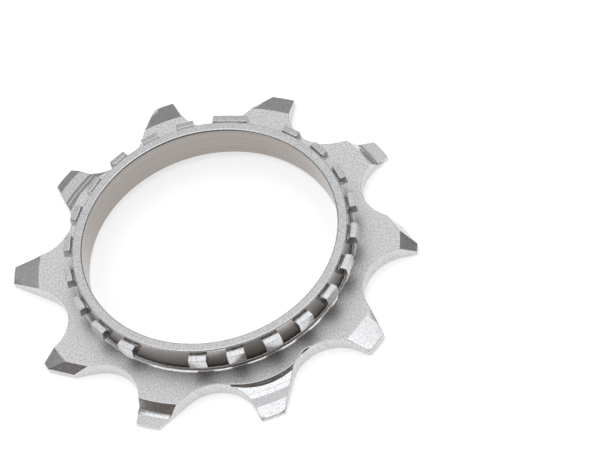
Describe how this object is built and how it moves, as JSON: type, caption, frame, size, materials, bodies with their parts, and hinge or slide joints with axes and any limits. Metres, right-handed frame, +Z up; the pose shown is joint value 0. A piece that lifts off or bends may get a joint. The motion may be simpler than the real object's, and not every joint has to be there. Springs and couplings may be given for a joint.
{
  "type": "cassette cog",
  "caption": "Small toothed chain sprocket with a wide bored collar, a ring of drive lugs around the collar, and tooth faces sloped and stepped to pass a chain across.",
  "frame": {"origin": "on the bore's axis, in the plane of the flat back face that the cog lies on", "axes": "+Z up the bore axis from the back face towards the collar's rim; +Y along the radius of a plain tooth"},
  "size_m": [0.0417, 0.0433, 0.005],
  "materials": {
    "plated_steel": "fine bead-blasted satin, nickel plated"
  },
  "bodies": {
    "root": {"cog": "plated_steel"}
  },
  "joints": []
}
